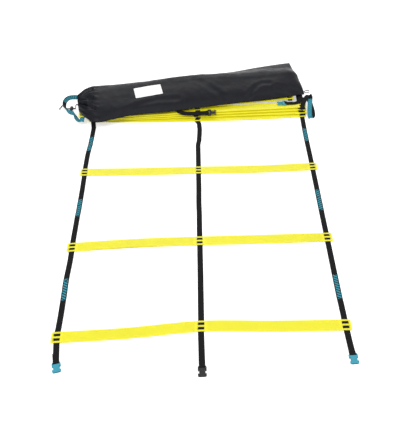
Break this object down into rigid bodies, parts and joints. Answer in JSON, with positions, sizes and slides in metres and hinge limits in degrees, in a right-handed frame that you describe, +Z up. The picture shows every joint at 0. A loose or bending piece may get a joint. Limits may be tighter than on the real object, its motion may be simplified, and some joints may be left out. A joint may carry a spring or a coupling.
{
  "type": "agility ladder",
  "caption": "Double-lane agility ladder: flat moulded rungs on three webbing straps with side-release buckles, partly laid out, its drawstring bag across the stacked end.",
  "frame": {"origin": "middle of the footprint's bounding box, drawstring and cord lock aside, on the floor plane", "axes": "+Y along the straps from the socket end towards the stacked end, +X along the rungs to the right, +Z up"},
  "size_m": [1.1475, 1.5992, 0.0808],
  "materials": {
    "rung_yellow": "satin moulded plastic",
    "webbing_black": "woven polyester webbing",
    "buckle_teal": "satin moulded acetal",
    "buckle_black": "satin moulded acetal",
    "bag_nylon": "coated nylon cloth",
    "label_white": "bare woven label",
    "cord_black": "braided cord",
    "spring_steel": "drawn spring wire"
  },
  "bodies": {
    "stack": {"rung_4": "rung_yellow", "rung_5": "rung_yellow", "rung_6": "rung_yellow", "rung_7": "rung_yellow", "rung_8": "rung_yellow", "strap_left_stack": "webbing_black", "strap_centre_stack": "webbing_black", "strap_right_stack": "webbing_black", "plug_left": "buckle_teal", "plug_centre": "buckle_black", "plug_right": "buckle_teal"},
    "section_far": {"strap_left_3": "webbing_black", "strap_centre_3": "webbing_black", "strap_right_3": "webbing_black"},
    "section_middle": {"strap_left_2": "webbing_black", "strap_centre_2": "webbing_black", "strap_right_2": "webbing_black"},
    "section_near": {"strap_left_1": "webbing_black", "strap_centre_1": "webbing_black", "strap_right_1": "webbing_black"},
    "rung_first": {"rung_1": "rung_yellow"},
    "rung_second": {"rung_2": "rung_yellow"},
    "rung_third": {"rung_3": "rung_yellow"},
    "socket_left": {"socket_left": "buckle_teal"},
    "socket_centre": {"socket_centre": "buckle_black"},
    "socket_right": {"socket_right": "buckle_teal"},
    "bag": {"bag_body": "bag_nylon", "bag_label": "label_white", "bag_hang_loop": "bag_nylon", "drawstring": "cord_black"},
    "cord_lock": {"cord_lock_body": "buckle_black", "cord_lock_spring": "spring_steel"},
    "cord_lock_button": {"cord_lock_button": "buckle_black"}
  },
  "joints": [
    {"name": "fold_far", "type": "hinge", "parent": "stack", "child": "section_far", "pos_m": [0.04765, 0.29134, 0.006], "axis": [-1, 0, 0], "range_deg": [0, 90]},
    {"name": "fold_middle", "type": "hinge", "parent": "section_far", "child": "section_middle", "pos_m": [0.04765, -0.07666, 0.01], "axis": [-1, 0, 0], "range_deg": [0, 170]},
    {"name": "fold_near", "type": "hinge", "parent": "section_middle", "child": "section_near", "pos_m": [0.04765, -0.43665, 0.007], "axis": [-1, 0, 0], "range_deg": [0, 180]},
    {"name": "rung_3_slide", "type": "slide", "parent": "section_far", "child": "rung_third", "axis": [0, 1, 0], "range_m": [-0.15, 0.13]},
    {"name": "rung_2_slide", "type": "slide", "parent": "section_middle", "child": "rung_second", "axis": [0, 1, 0], "range_m": [-0.135, 0.155]},
    {"name": "rung_1_slide", "type": "slide", "parent": "section_near", "child": "rung_first", "axis": [0, 1, 0], "range_m": [-0.01, 0.15]},
    {"name": "socket_left_swing", "type": "hinge", "parent": "section_near", "child": "socket_left", "pos_m": [-0.40029, -0.73839, 0.00425], "axis": [0.9781, 0.2079, 0], "range_deg": [-110, 0]},
    {"name": "socket_centre_swing", "type": "hinge", "parent": "section_near", "child": "socket_centre", "pos_m": [0.04913, -0.76664, 0.00425], "axis": [0.9998, 0.0175, 0], "range_deg": [-110, 0]},
    {"name": "socket_right_swing", "type": "hinge", "parent": "section_near", "child": "socket_right", "pos_m": [0.51022, -0.7406, 0.00425], "axis": [0.999, 0.0436, 0], "range_deg": [-110, 0]},
    {"name": "bag_lift", "type": "slide", "parent": "stack", "child": "bag", "axis": [0, 0, 1], "range_m": [0, 0.3]},
    {"name": "cord_lock_slide", "type": "slide", "parent": "bag", "child": "cord_lock", "axis": [1, 0, 0], "range_m": [-0.008, 0.003]},
    {"name": "cord_lock_press", "type": "slide", "parent": "cord_lock", "child": "cord_lock_button", "axis": [0, 1, 0], "range_m": [0, 0.0025], "stiffness_N_per_m": 600, "springref_m": -0.0008, "deforming": ["cord_lock_spring"]}
  ]
}
